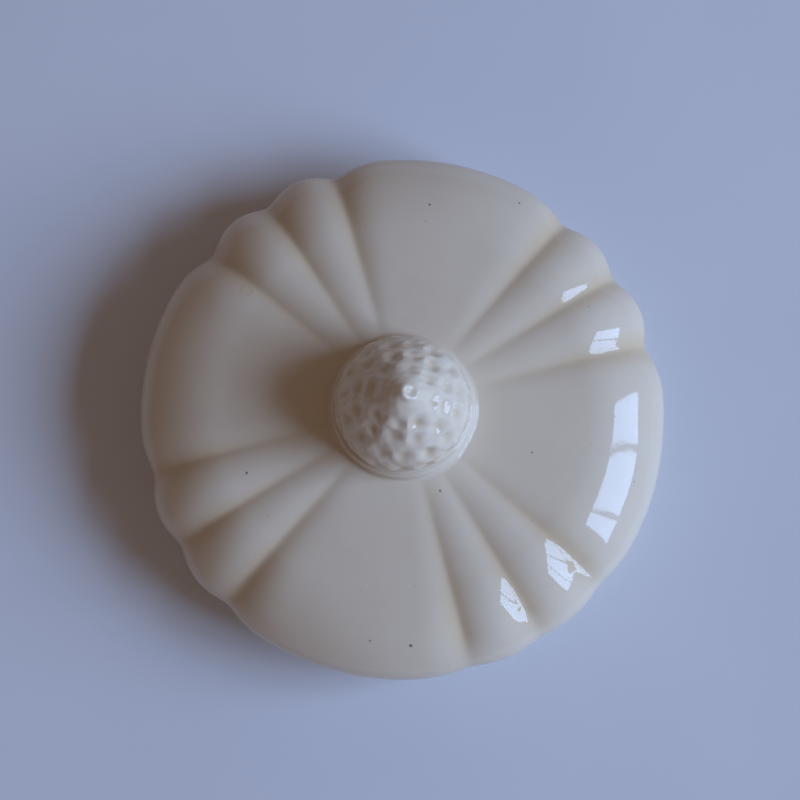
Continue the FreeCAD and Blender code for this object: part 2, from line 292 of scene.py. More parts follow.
def line(start: Sequence[float], end: Sequence[float], count: int) -> np.ndarray:
    """Evenly spaced points on a straight line, both ends included."""
    share = np.linspace(0.0, 1.0, count)[:, None]
    return np.asarray(start) * (1.0 - share) + np.asarray(end) * share


def chain(*stretches: np.ndarray) -> np.ndarray:
    """Join stretches of a profile, leaving out the repeated point where two meet."""
    return np.concatenate([stretches[0]] + [stretch[1:] for stretch in stretches[1:]])


def profile_normals(profile: np.ndarray) -> np.ndarray:
    """Unit vectors square to a profile, on the left of its way for a clockwise one.

    Each is the profile's central difference turned by a quarter turn.
    """
    along = np.gradient(profile, axis=0)
    square = np.stack([-along[:, 1], along[:, 0]], 1)
    return square / np.linalg.norm(square, axis=1, keepdims=True)


def turned(radius: np.ndarray, height: np.ndarray, angles: np.ndarray) -> np.ndarray:
    """Carry a profile round the axis.

    A point is (radius times cosine, radius times sine, height) of its angle. Radius and height
    are arrays of rings by angles, or columns that hold for every angle.
    """
    radius, height = np.broadcast_arrays(radius, height + 0.0 * radius)
    radius = np.broadcast_to(radius, (radius.shape[0], angles.size))
    height = np.broadcast_to(height, radius.shape)
    return np.stack([radius * np.cos(angles), radius * np.sin(angles), height], -1)


def swelled(
    section: np.ndarray, square: np.ndarray, lift: np.ndarray, angles: np.ndarray
) -> np.ndarray:
    """Carry a section round the axis and move each of its points along the section's square.

    Args:
        section: Rows of (radius, height).
        square: A unit vector of the half-plane for each row.
        lift: How far each point moves, as rings by angles.
        angles: Angles round the axis, in radians.

    Returns:
        The points as rings by angles by 3.
    """
    radius = section[:, :1] + lift * square[:, :1]
    height = section[:, 1:] + lift * square[:, 1:]
    return turned(radius, height, angles)


def full_turn(count: int) -> np.ndarray:
    """Evenly spaced angles round a full turn, in radians."""
    return np.linspace(0.0, 2.0 * np.pi, count, endpoint=False)


def ripple(points: np.ndarray, size: float, height: float, seed: int) -> np.ndarray:
    """Soft unevenness from a hand or a mould.

    It is a sum of eight plane waves of random direction and phase, whose lengths lie between
    0.7 and 1.6 times the given size, scaled to the given height.

    Args:
        points: An array whose last axis holds x, y and z.
        size: The mean length of the waves.
        height: Twice the standard deviation of the result.
        seed: Fixes the random waves.

    Returns:
        One height for each point.
    """
    random = np.random.default_rng(seed)
    total = np.zeros(points.shape[:-1])
    for _ in range(8):
        way = random.normal(size=3)
        way *= 2.0 * np.pi / (size * random.uniform(0.7, 1.6) * np.linalg.norm(way))
        total += np.sin(points @ way + random.uniform(0.0, 2.0 * np.pi))
    return total * (height / 4.0)


def make_mesh(
    name: str, rings: np.ndarray, ends: Ends, values: dict[str, np.ndarray] | None = None
) -> bpy.types.Object:
    """Make a closed piece from rings of points.

    Neighbouring rings are joined by four-sided faces. With poles, the first and the last ring
    each shrink to their mean point and are closed by triangles; in a loop the last ring is
    joined to the first. The winding is turned round if the enclosed volume comes out negative.

    Args:
        name: The object's name.
        rings: Points as rings by angles by 3, in metres.
        ends: How the rings are closed.
        values: Numbers for each point of the rings, stored as attributes.

    Returns:
        The object, linked to the scene and shaded smooth.
    """
    count, steps = rings.shape[:2]
    here = np.arange(count * steps).reshape(count, steps)
    ahead = np.roll(here, -1, axis=1)
    extra = np.zeros((0, 3))
    fans: list[np.ndarray] = []
    if ends is Ends.LOOP:
        low, high = here, np.roll(here, -1, axis=0)
        low_ahead, high_ahead = ahead, np.roll(ahead, -1, axis=0)
    else:
        low, high, low_ahead, high_ahead = here[:-1], here[1:], ahead[:-1], ahead[1:]
        extra = np.stack([rings[0].mean(0), rings[-1].mean(0)])
        first = np.full(steps, count * steps)
        fans.append(np.stack([first, here[0], ahead[0]], 1))
        fans.append(np.stack([first + 1, ahead[-1], here[-1]], 1))
    quads = np.stack([low, high, high_ahead, low_ahead], -1).reshape(-1, 4)
    points = np.concatenate([rings.reshape(-1, 3), extra])
    if enclosed_volume(points, quads) < 0:
        quads = quads[:, ::-1]
        fans = [fan[:, ::-1] for fan in fans]
    faces = quads.tolist() + [row for fan in fans for row in fan.tolist()]
    mesh = bpy.data.meshes.new(name)
    mesh.from_pydata(points.tolist(), [], faces)
    mesh.polygons.foreach_set("use_smooth", np.ones(len(mesh.polygons), bool))
    for key, numbers in (values or {}).items():
        flat = np.concatenate([numbers.reshape(-1), np.zeros(len(extra))])
        mesh.attributes.new(key, "FLOAT", "POINT").data.foreach_set("value", flat)
    mesh.update()
    piece = bpy.data.objects.new(name, mesh)
    bpy.context.scene.collection.objects.link(piece)
    return piece


def enclosed_volume(points: np.ndarray, quads: np.ndarray) -> float:
    """Signed volume inside four-sided faces, as the sum of a pyramid for each half face."""
    a, b, c, d = (points[quads[:, index]] for index in range(4))
    halves = np.einsum("ij,ij->i", a, np.cross(b, c)) + np.einsum("ij,ij->i", a, np.cross(c, d))
    return float(halves.sum() / 6.0)


def hand_over(piece: bpy.types.Object, node: str, material: bpy.types.Material) -> None:
    """Dress a piece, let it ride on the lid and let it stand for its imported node."""
    piece.data.materials.append(material)
    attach(piece, BODY)
    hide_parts(node)
    log.info("%s: %d faces stand for %s", piece.name, len(piece.data.polygons), node)


# ----------------------------------------
# Finishes
# ----------------------------------------


class Flaw(Enum):
    """The kinds of single blemish in the glaze."""

    SPECK = "speck"
    PIT = "pit"
    RING = "ring"


@dataclass(frozen=True)
class Blemish:
    """One blemish, placed by its distance from the axis and its angle.

    Attributes:
        kind: What it looks like.
        out: Distance from the axis in millimetres.
        turn: Angle from +X in degrees.
        radius: Its own radius in millimetres.
    """

    kind: Flaw
    out: float
    turn: float
    radius: float


@dataclass(frozen=True)
class CreamGlaze:
    """Clear glossy glaze over a cream clay body.

    The glaze is pale on the crests and pools, deeper in colour, in the hollows; this darker
    colour in the grooves and dimples is also painted shade. Thin glaze lies in paler random
    clouds. It has fine iron specks, pinholes and a soft orange-peel surface.

    Attributes:
        name: The material's name.
        body: Colour of an even coat.
        pooled_and_shaded: Colour where the glaze is thick, which also paints shade into hollows.
        thin: Colour where the glaze has run off.
        speck: Colour of the iron specks.
        bare: Colour of clay that is wiped bare.
        gloss: Roughness of the glaze.
        refraction: Index of refraction of the glaze.
        peel: Depth of the orange-peel surface in metres.
        bare_below: Height in metres under which the clay is wiped bare, or None.
    """

    name: str
    body: tuple[float, ...] = colour(0.80, 0.675, 0.50)
    # Darker, browner colour of the hollows: pooled glaze and painted shade in grooves and dimples.
    pooled_and_shaded: tuple[float, ...] = colour(0.74, 0.57, 0.36)
    thin: tuple[float, ...] = colour(0.85, 0.745, 0.585)
    speck: tuple[float, ...] = colour(0.10, 0.065, 0.04)
    bare: tuple[float, ...] = colour(0.70, 0.58, 0.43)
    gloss: float = 0.055
    refraction: float = 1.43
    peel: float = 0.010 * MM
    bare_below: float | None = None

    def colouring(self, graph: Graph) -> Wire:
        """Mix the coat's colour from its pooling and painted shade, its clouding and its specks."""
        pooling_and_shade = graph.node("ShaderNodeAttribute", {"attribute_name": "pooling_and_shade"}, output="Fac")
        cloud = graph.noise(14 * MM, 3.0, 1.7).ramp(0.3, 0.7)
        mottle = graph.noise(2.2 * MM, 2.0, 4.1).ramp(0.35, 0.75)
        coat = graph.mix(cloud * 0.35 + mottle * 0.12, self.body, self.thin)
        # Darker in the groove valleys and dimples: glaze pooling together with painted shade.
        coat = graph.mix(pooling_and_shade.ramp(0.05, 1.0) * 0.8, coat, self.pooled_and_shaded)
        fine = graph.dots(3.4 * MM, 0.17 * MM, 0.22, 0.31)
        faint = graph.dots(2.3 * MM, 0.24 * MM, 0.30, 0.77)
        coat = graph.mix(faint * 0.16, coat, self.speck)
        return graph.mix(fine * 0.62, coat, self.speck)

    def relief(self, graph: Graph) -> Wire:
        """Work out the height of the glaze's surface in metres: orange peel and pinholes."""
        peel = graph.noise(1.9 * MM, 2.0, 2.6) * self.peel
        pinholes = graph.dots(6.1 * MM, 0.26 * MM, 0.18, 1.21)
        return peel - pinholes * (0.05 * MM)

    def build(self, blemishes: Sequence[tuple[Blemish, Vector]] = ()) -> bpy.types.Material:
        """Build the material.

        Args:
            blemishes: Single blemishes, each with its place in the lid's frame.

        Returns:
            The material, ready for a slot.
        """
        graph = Graph(self.name)
        coat = self.colouring(graph)
        height = self.relief(graph)
        gloss = graph.noise(7 * MM, 2.0, 6.3) * 0.03 + (self.gloss - 0.015)
        for blemish, place in blemishes:
            away = graph.node(
                "ShaderNodeVectorMath", {"operation": "DISTANCE"},
                {0: graph.position(), 1: tuple(place)}, output="Value",
            )
            reach = blemish.radius * MM
            if blemish.kind is Flaw.SPECK:
                coat = graph.mix(away.ramp(reach, reach * 0.4) * 0.8, coat, self.speck)
            elif blemish.kind is Flaw.PIT:
                coat = graph.mix(away.ramp(reach, reach * 0.3) * 0.7, coat, self.speck)
                height = height - away.ramp(reach, 0.0) * (0.12 * MM)
            else:
                band = away.ramp(reach * 0.55, reach * 0.85) * away.ramp(reach * 1.3, reach)
                coat = graph.mix(band * 0.22, coat, self.pooled_and_shaded)
                height = height + band * (0.02 * MM)
        if self.bare_below is not None:
            up = graph.part(graph.position(), "Z")
            edge = graph.noise(5 * MM, 2.0, 9.4) * (0.5 * MM) - 0.25 * MM
            wiped = (up + edge).ramp(self.bare_below + 0.12 * MM, self.bare_below - 0.12 * MM)
            grit = graph.noise(0.5 * MM, 3.0, 3.3)
            rubbed = graph.mix(grit.ramp(0.45, 0.75) * 0.35, self.bare, self.speck)
            coat = graph.mix(wiped, coat, rubbed)
            gloss = gloss + wiped * 0.65
            height = height + wiped * (grit * (0.05 * MM) - 0.06 * MM)
        bump = graph.node(
            "ShaderNodeBump", inputs={"Strength": 1.0, "Distance": 1.0, "Height": height}
        )
        return graph.finish(graph.node(
            "ShaderNodeBsdfPrincipled",
            inputs={
                "Base Color": coat,
                "Roughness": gloss,
                "IOR": self.refraction,
                "Normal": bump,
            },
        ))


@dataclass(frozen=True)
class PaleGround:
    """The plain, matt, faintly blue-white ground that the lid stands on."""

    name: str = "pale_ground"
    light: tuple[float, ...] = colour(0.80, 0.80, 0.82)
    shade: tuple[float, ...] = colour(0.76, 0.765, 0.79)

    def build(self) -> bpy.types.Material:
        """Build the material: two close tones in soft clouds."""
        graph = Graph(self.name)
        tone = graph.mix(graph.noise(60 * MM, 3.0, 0.4).ramp(0.3, 0.7), self.light, self.shade)
        return graph.finish(graph.node(
            "ShaderNodeBsdfPrincipled",
            inputs={"Base Color": tone, "Roughness": 0.95, "Specular IOR Level": 0.2},
        ))


# ----------------------------------------
# The lid's sub-assemblies
# ----------------------------------------


@dataclass
class LobedDome:
    """The pressed dome with four wide lobes and four pairs of narrow ones.

    Lengths are in metres and angles in degrees.

    Attributes:
        rim: Widest radius, at the crest of the lobes.
        lip: Radius of the rim's lower edge.
        shoulder: Radius of the arc that turns down to the rim.
        shoulder_slope: Slope where that arc starts.
        haunch: Radius of the arc between the crown and the shoulder.
        crown: Radius of the arc over the crown.
        wall: Thickness of the clay.
        bore: Radius of the opening that holds the flange.
        pitch: Angle between two neighbouring grooves of a pair.
        fall: Angle over which a wide lobe falls into the groove beside it.
        group_turns: How far each pair of narrow lobes stands off its even place.
        rim_shares: How much of its depth each pair's grooves keep at the rim.
        groove_depths: Groove depth at stations out from the axis, as (radius, depth) in mm.
        valley_softness: Rounding of the valleys at such stations.
        steps: Points round each ring.
    """

    rim: float = 50.0 * MM
    lip: float = 1.5 * MM
    shoulder: float = 6.0 * MM
    shoulder_slope: float = 45.0
    haunch: float = 23.0 * MM
    crown: float = 300.0 * MM
    wall: float = 3.8 * MM
    bore: float = 44.0 * MM
    pitch: float = 17.0
    fall: float = 13.0
    group_turns: tuple[float, ...] = (0.9, 0.8, -1.5, -0.1)
    rim_shares: tuple[float, ...] = (1.0, 1.1, 0.75, 0.4)
    groove_depths: tuple[tuple[float, float], ...] = (
        (13.0, 0.0), (18.0, 0.20), (26.0, 0.48), (36.0, 0.9), (44.0, 1.35), (50.0, 1.6),
    )
    valley_softness: tuple[tuple[float, float], ...] = (
        (15.0, 0.26), (30.0, 0.10), (44.0, 0.08), (48.0, 0.12), (50.0, 0.20),
    )
    steps: int = 640
    haunch_centre: tuple[float, float] = field(init=False)
    crown_centre: tuple[float, float] = field(init=False)
    crown_edge: float = field(init=False)

    def __post_init__(self) -> None:
        """Place the arcs' centres so that neighbouring arcs meet smoothly.

        The haunch's centre lies on the shoulder's radius at their common slope, and the crown's
        centre lies on the axis, one difference of radii from the haunch's centre.
        """
        slope = math.radians(self.shoulder_slope)
        apart = self.shoulder - self.haunch
        out = self.rim - self.shoulder + apart * math.sin(slope)
        up = self.lip + apart * math.cos(slope)
        gap = self.crown - self.haunch
        self.haunch_centre = (out, up)
        self.crown_centre = (0.0, up - math.sqrt(gap**2 - out**2))
        self.crown_edge = math.degrees(math.asin(out / gap))

    def crown_height(self, out: float) -> float:
        """Height of the crown's surface at a distance from the axis."""
        return self.crown_centre[1] + math.sqrt(self.crown**2 - out**2)

    def profile(self) -> tuple[np.ndarray, int, int]:
        """Trace the wall's section from the outer apex round the rim to the inner apex.

        Returns:
            The (radius, height) points, the number of points down to the widest circle, and
            the number down to the seat's outer edge.
        """
        shoulder_centre = (self.rim - self.shoulder, self.lip)
        lip_centre = (self.rim - self.lip, self.lip)
        inner_haunch = self.haunch - self.wall
        inner_crown = self.crown - self.wall
        reach = self.bore - self.haunch_centre[0]
        inner_slope = math.degrees(math.asin(reach / inner_haunch))
        inner_edge = arc(self.haunch_centre, inner_haunch, inner_slope, self.crown_edge, 14)
        outer = chain(
            arc(self.crown_centre, self.crown, AXIS_SLOPE, self.crown_edge, 46),
            arc(self.haunch_centre, self.haunch, self.crown_edge, self.shoulder_slope, 34),
            arc(shoulder_centre, self.shoulder, self.shoulder_slope, 90.0, 18),
        )
        down = chain(outer, arc(lip_centre, self.lip, 90.0, 180.0, 9))
        whole = chain(
            down,
            line(down[-1], (self.bore, 0.0), 6),
            line((self.bore, 0.0), inner_edge[0], 5),
            inner_edge,
            arc(self.crown_centre, inner_crown, self.crown_edge, AXIS_SLOPE, 22),
        )
        return whole, len(outer), len(down)

    def groove_share(self, angles: np.ndarray, out: np.ndarray) -> np.ndarray:
        """Say how far each point has sunk into a groove, from 0 on a crest to 1 in a valley.

        The way from the nearest groove to the crest runs from 0 to 1: over half the pitch on a
        narrow lobe, where the square of what is left makes the lobe bulge, and over the fall on
        a wide one, where the cube fades out without an edge. The root of the way squared plus
        the softness squared rounds the valley. Each pair's share fades towards its rim share.

        Args:
            angles: Angles round the lid, in radians.
            out: Distance of each ring from the axis, in millimetres.

        Returns:
            An array of rings by angles.
        """
        soft = np.interp(out, *np.transpose(self.valley_softness))[:, None]
        degrees = np.degrees(angles)
        total = np.zeros((out.size, angles.size))
        for group, (turn, rim_share) in enumerate(zip(self.group_turns, self.rim_shares)):
            off = (degrees - 90.0 * group - turn + 180.0) % 360.0 - 180.0
            beside = np.abs(np.abs(off) - self.pitch)
            outside = np.abs(off) > self.pitch
            narrow = np.minimum(np.abs(off), beside) / (self.pitch / 2.0)
            way = np.clip(np.where(outside, beside / self.fall, narrow), 0.0, 1.0)
            left = 1.0 - (np.sqrt(way**2 + soft**2) - soft) / (np.sqrt(1.0 + soft**2) - soft)
            share = left ** np.where(outside, 3.0, 2.0)
            fade = np.interp(out, [44.0, 49.0], [1.0, rim_share])[:, None]
            total = np.maximum(total, share * fade)
        return total

    def rings(self) -> tuple[np.ndarray, np.ndarray]:
        """Work out the dome's surface.

        Each profile point is sunk by the groove depth at its radius times its groove share:
        square to the surface down to the widest circle, then straight in towards the axis,
        fading out over the seat. The outside also has a soft ripple square to its surface.

        Returns:
            The points as rings by angles by 3, and each point's pooled glaze and painted shade,
            from its groove share.
        """
        profile, widest, edge = self.profile()
        angles = full_turn(self.steps)
        out = profile[:, 0] / MM
        depth = np.interp(out, *np.transpose(self.groove_depths)) * MM
        share = self.groove_share(angles, out)
        square = profile_normals(profile)
        square[widest:] = (1.0, 0.0)
        weight = np.ones(len(profile))
        seat = (profile[:, 0] - self.bore) / (profile[edge - 1, 0] - self.bore)
        weight[edge:] = np.where(profile[edge:, 1] > 0.0, 0.0, np.clip(seat[edge:], 0.0, 1.0))
        weight[edge + 6:] = 0.0
        smooth = turned(profile[:, :1], profile[:, 1:], angles)
        uneven = ripple(smooth, 26 * MM, 0.10 * MM, 3) + ripple(smooth, 11 * MM, 0.03 * MM, 4)
        lift = np.where(np.arange(len(profile)) < edge, 1.0, 0.0)[:, None] * uneven
        lift[widest:edge] *= np.linspace(1.0, 0.0, edge - widest)[:, None]
        sink = (depth * weight)[:, None] * share
        # Pooled glaze plus painted shade in the grooves: deepest in the valleys and stronger
        # towards the rim.
        pooling_and_shade = share * (weight * np.interp(out, [15.0, 40.0], [0.3, 1.0]))[:, None]
        return swelled(profile, square, lift - sink, angles), pooling_and_shade

    def place(self, blemish: Blemish) -> Vector:
        """Find where a blemish lies on the dome from its polar place."""
        profile, widest, _ = self.profile()
        out = blemish.out * MM
        up = float(np.interp(out, profile[:widest, 0], profile[:widest, 1]))
        turn = math.radians(blemish.turn)
        return Vector((out * math.cos(turn), out * math.sin(turn), up))

    def build(self, glaze: CreamGlaze, blemishes: Sequence[Blemish]) -> bpy.types.Object:
        """Build the dome and glaze it."""
        rings, pooling_and_shade = self.rings()
        piece = make_mesh("glazed_dome", rings, Ends.POLES, {"pooling_and_shade": pooling_and_shade})
        material = glaze.build([(blemish, self.place(blemish)) for blemish in blemishes])
        hand_over(piece, "lid_dome", material)
        return piece


@dataclass
class LocatingFlange:
    """The ring under the dome that drops into the jar's mouth, and its slip joint.

    Attributes:
        bore: Radius of the opening in the dome that holds it.
        relief: How far the ring steps in below the seat.
        wall: Thickness of the ring.
        foot: Height of its lower edge.
        top: Height of its upper edge inside the dome.
        edge: Rounding of its lower edges.
        slip: Leg of the bead of slip above it.
        steps: Points round each ring.
    """

    bore: float
    foot: float
    top: float
    relief: float = 0.5 * MM
    wall: float = 3.2 * MM
    edge: float = 0.8 * MM
    slip: float = 1.3 * MM
    steps: int = 480

    def ring(self) -> np.ndarray:
        """Trace the ring's section and carry it round with a soft ripple.

        The section goes down the outside, round the foot and up the inside; the foot's edges
        are quarter circles.
        """
        outer = self.bore - self.relief
        inner = self.bore - self.wall
        low = self.foot + self.edge
        section = chain(
            line((self.bore, self.top), (self.bore, 0.0), 4),
            line((self.bore, 0.0), (outer, 0.0), 3),
            line((outer, 0.0), (outer, low), 8),
            arc((outer - self.edge, low), self.edge, 90.0, 180.0, 8),
            line((outer - self.edge, self.foot), (inner + self.edge, self.foot), 4),
            arc((inner + self.edge, low), self.edge, 180.0, 270.0, 8),
            line((inner, low), (inner, self.top), 10),
            line((inner, self.top), (self.bore - 0.2 * MM, self.top), 4),
        )
        angles = full_turn(self.steps)
        smooth = turned(section[:, :1], section[:, 1:], angles)
        near = 0.01 * MM
        free = np.where(section[:, 1] > -0.1 * MM, 0.0, 1.0)
        free *= np.where(section[:, 1] < self.foot + near, 0.0, 1.0)
        inside = (section[:, 0] < inner + near) & (section[:, 1] < self.top - near)
        free = np.where(inside, 1.0, free)[:, None]
        lift = (ripple(smooth, 18 * MM, 0.07 * MM, 11) - 0.05 * MM) * free
        return swelled(section, profile_normals(section), lift, angles)

    def bead(self) -> np.ndarray:
        """Trace the slip bead's section, a corner with a hollow quarter circle.

        Its leg swells and shrinks by a ripple round the ring, as a finger leaves it.
        """
        angles = full_turn(self.steps)
        around = turned(np.array([[self.bore]]), np.array([[self.top]]), angles)
        leg = self.slip * (1.0 + ripple(around, 9 * MM, 0.22, 21)[0])
        slope = np.radians(np.linspace(90.0, 180.0, 9))[:, None]
        hollow_out = self.bore - leg * (1.0 - np.sin(slope))
        hollow_up = self.top + leg * (1.0 + np.cos(slope))
        corner_out = np.full((1, angles.size), self.bore + BEDDING)
        corner_up = np.full((1, angles.size), self.top - BEDDING)
        radius = np.concatenate([hollow_out, hollow_out[-1:], corner_out, corner_out])
        height = np.concatenate([hollow_up, corner_up, corner_up, hollow_up[:1]])
        return turned(radius, height, angles)

    def build(self, glaze: CreamGlaze) -> list[bpy.types.Object]:
        """Build the ring and its slip joint and glaze them."""
        ring = make_mesh("flange_ring", self.ring(), Ends.LOOP)
        bead = make_mesh("flange_bead", self.bead(), Ends.LOOP)
        hand_over(ring, "locating_flange", glaze.build())
        hand_over(bead, "flange_slip_joint", glaze.build())
        return [ring, bead]


@dataclass
class BerryKnob:
    """The dimpled berry on its smooth foot, with the slip joint round the foot.

    Attributes:
        dome: The dome that it stands on.
        foot_top: Height of the foot's upper face.
        foot: Radius of the foot.
        foot_edge: Rounding of the foot's upper edge.
        slip: Leg of the bead of slip round the foot.
        widest: Widest radius of the berry.
        waist: Height of the widest circle above the foot.
        height: Height of the berry.
        shoulder: Radius of the arc that turns from the waist to the flank.
        shoulder_turn: Slope where the shoulder meets the flank.
        nose: Rounding of its tip.
        tuck: Radius of the arc that draws it in to its base.
        flare: Hollow corner between the berry and the foot.
        dimple_rows: Rows of dimples, as (slope of the berry there, dimples in the row).
        dimple_depth: Depth of a dimple.
        dimple_radius: Reach of a dimple.
        pit_place: Where the small pit at the tip lies beside the axis, along +X and +Y.
        pit_radius: Reach of the pit, and of the ring's rise and fall.
        pit_depth: Depth of the pit.
        ring_radius: Radius of the raised ring round the pit.
        ring_height: Height of the ring.
        steps: Points round each ring.
    """

    dome: LobedDome
    foot_top: float
    height: float
    foot: float = 13.4 * MM
    foot_edge: float = 1.2 * MM
    slip: float = 0.8 * MM
    widest: float = 12.6 * MM
    waist: float = 3.2 * MM
    shoulder: float = 8.0 * MM
    shoulder_turn: float = 60.0
    nose: float = 2.2 * MM
    tuck: float = 10.5 * MM
    flare: float = 0.5 * MM
    dimple_rows: tuple[tuple[float, int], ...] = (
        (101.0, 16), (82.0, 16), (57.0, 15), (50.6, 12), (44.3, 8),
    )
    dimple_depth: float = 0.65 * MM
    dimple_radius: float = 1.45 * MM
    pit_place: tuple[float, float] = (1.1 * MM, -0.7 * MM)
    pit_radius: float = 0.6 * MM
    pit_depth: float = 0.35 * MM
    ring_radius: float = 1.3 * MM
    ring_height: float = 0.26 * MM
    steps: int = 480

    @property
    def waist_up(self) -> float:
        """Height of the widest circle."""
        return self.foot_top + self.waist

    @property
    def nose_centre(self) -> tuple[float, float]:
        """Centre of the nose's arc, on the knob's axis."""
        return 0.0, self.foot_top + self.height - self.nose

    @property
    def shoulder_centre(self) -> tuple[float, float]:
        """Centre of the shoulder's arc, level with the waist."""
        return self.widest - self.shoulder, self.waist_up

    @property
    def flank(self) -> tuple[tuple[float, float], float]:
        """Centre and radius of the flank's arc, which touches both the shoulder and the nose."""
        out, up = self.shoulder_centre
        rise = self.nose_centre[1] - up
        sine = math.sin(math.radians(self.shoulder_turn))
        cosine = math.cos(math.radians(self.shoulder_turn))
        gap = self.shoulder - self.nose
        growth = out**2 + rise**2 - gap**2
        growth /= 2.0 * (gap - rise * cosine + out * sine)
        return (out - growth * sine, up - growth * cosine), self.shoulder + growth

    @property
    def nose_turn(self) -> float:
        """Slope where the flank meets the nose, in degrees."""
        (out, up), _ = self.flank
        return math.degrees(math.atan2(-out, self.nose_centre[1] - up))

    def on_berry(self, slope: float) -> tuple[float, float]:
        """Find the point of the berry's section that has a slope, as (out, up)."""
        centre, radius = self.nose_centre, self.nose
        if slope > 90.0:
            centre, radius = (self.widest - self.tuck, self.waist_up), self.tuck
        elif slope > self.shoulder_turn:
            centre, radius = self.shoulder_centre, self.shoulder
        elif slope > self.nose_turn:
            centre, radius = self.flank
        turn = math.radians(slope)
        return centre[0] + radius * math.sin(turn), centre[1] + radius * math.cos(turn)

    def foot_rings(self) -> np.ndarray:
        """Trace the foot from its top centre over its rounded edge to its underside.

        The underside lies on the crown's own arc.
        """
        low = self.dome.crown_height(self.foot)
        centre = (self.foot - self.foot_edge, self.foot_top - self.foot_edge)
        side = math.degrees(math.asin(self.foot / self.dome.crown))
        underside = arc(self.dome.crown_centre, self.dome.crown, side, AXIS_SLOPE, 8)
        section = chain(
            line((AXIS_GAP, self.foot_top), (centre[0], self.foot_top), 12),
            arc(centre, self.foot_edge, 0.0, 90.0, 12),
            line((self.foot, centre[1]), (self.foot, low), 8),
            underside,
        )
        angles = full_turn(self.steps)
        smooth = turned(section[:, :1], section[:, 1:], angles)
        seen = len(section) - len(underside) + 1
        free = np.where(np.arange(len(section)) < seen, 1.0, 0.0)[:, None]
        lift = ripple(smooth, 12 * MM, 0.07 * MM, 31) * free
        return swelled(section, profile_normals(section), lift, angles)

    def bead_rings(self) -> np.ndarray:
        """Trace the slip bead's section between the foot and the crown.

        It is a hollow quarter circle whose leg swells by a ripple round the foot, closed by a
        corner that is tucked into the clay.
        """
        angles = full_turn(self.steps)
        low = self.dome.crown_height(self.foot)
        around = turned(np.array([[self.foot]]), np.array([[low]]), angles)
        leg = self.slip * (1.0 + ripple(around, 8 * MM, 0.25, 41)[0])
        slope = np.radians(np.linspace(180.0, 270.0, 10))[:, None]
        hollow_out = self.foot + leg * (1.0 + np.sin(slope))
        hollow_up = low + leg * (1.0 + np.cos(slope))
        hollow_up -= (hollow_out - self.foot) * math.tan(math.radians(4.2))
        corner_out = np.full((1, angles.size), self.foot - BEDDING)
        corner_up = np.full((1, angles.size), low - BEDDING)
        radius = np.concatenate([hollow_out, corner_out, corner_out, hollow_out[:1]])
        height = np.concatenate([hollow_up, hollow_up[-1:], corner_up, corner_up])
        return turned(radius, height, angles)

    def berry_section(self) -> np.ndarray:
        """Trace the berry from its tip down to its base.

        A round nose runs into the long arc of the flank, then the shoulder's arc down to the
        waist. The tuck's arc ends in a hollow quarter circle that runs out on the foot.
        """
        flank_centre, flank_radius = self.flank
        tuck_centre = (self.widest - self.tuck, self.waist_up)
        under = 90.0 + math.degrees(math.asin((self.waist - self.flare) / self.tuck))
        tucked = tuck_centre[0] + self.tuck * math.sin(math.radians(under))
        corner = (tucked + self.flare, self.foot_top + self.flare)
        return chain(
            arc(self.nose_centre, self.nose, 0.3, self.nose_turn, 30),
            arc(flank_centre, flank_radius, self.nose_turn, self.shoulder_turn, 90),
            arc(self.shoulder_centre, self.shoulder, self.shoulder_turn, 90.0, 36),
            arc(tuck_centre, self.tuck, 90.0, under, 18),
            arc(corner, self.flare, 270.0, 180.0, 8),
            line((corner[0], self.foot_top), (AXIS_GAP, self.foot_top), 8),
        )

    def dimples(self, points: np.ndarray) -> np.ndarray:
        """Say how deep each point lies in a dimple, from 0 to 1.

        A dimple falls off as the exponential of minus the squared distance over its reach.
        Every other row is turned by half its spacing, and each dimple stands a little off its
        even place, as on a hand-cut mould.
        """
        random = np.random.default_rng(51)
        total = np.zeros(points.shape[:-1])
        for row, (row_slope, count) in enumerate(self.dimple_rows):
            for index in range(count):
                turn = 2.0 * np.pi * (index + 0.5 * (row % 2) + random.normal(0.0, 0.07)) / count
                out, up = self.on_berry(row_slope + random.normal(0.0, 0.8))
                middle = np.array([out * math.cos(turn), out * math.sin(turn), up])
                reach = self.dimple_radius * random.uniform(0.85, 1.1)
                away = np.sum((points - middle) ** 2, axis=-1) / reach**2
                depth = np.exp(-away) * random.uniform(0.65, 1.15)
                total = np.maximum(total, depth)
        return total

    def tip(self, points: np.ndarray) -> np.ndarray:
        """Height of the small ringed pit at the tip: a raised ring round a hollow."""
        away = np.hypot(points[..., 0] - self.pit_place[0], points[..., 1] - self.pit_place[1])
        near_tip = points[..., 2] > self.nose_centre[1] - self.nose
        ring = self.ring_height * np.exp(-(((away - self.ring_radius) / self.pit_radius) ** 2))
        pit = self.pit_depth * np.exp(-((away / self.pit_radius) ** 2))
        return np.where(near_tip, ring - pit, 0.0)

    def berry_rings(self) -> tuple[np.ndarray, np.ndarray]:
        """Work out the berry's surface: its section turned, dimpled and softly uneven; also the
        pooled glaze and painted shade in its dimples.
        """
        section = self.berry_section()
        angles = full_turn(self.steps)
        smooth = turned(section[:, :1], section[:, 1:], angles)
        free = np.interp(section[:, 1] - self.foot_top, [0.3 * MM, 1.5 * MM], [0.0, 1.0])[:, None]
        depth = self.dimples(smooth)
        lift = ripple(smooth, 7 * MM, 0.18 * MM, 61) + ripple(smooth, 2.6 * MM, 0.08 * MM, 62)
        lift += ripple(smooth, 1.3 * MM, 0.045 * MM, 63)
        lift = (lift + self.tip(smooth) - depth * self.dimple_depth) * free
        # The dimples get the same darker colour: pooled glaze plus painted shade.
        return swelled(section, profile_normals(section), lift, angles), depth * 0.8

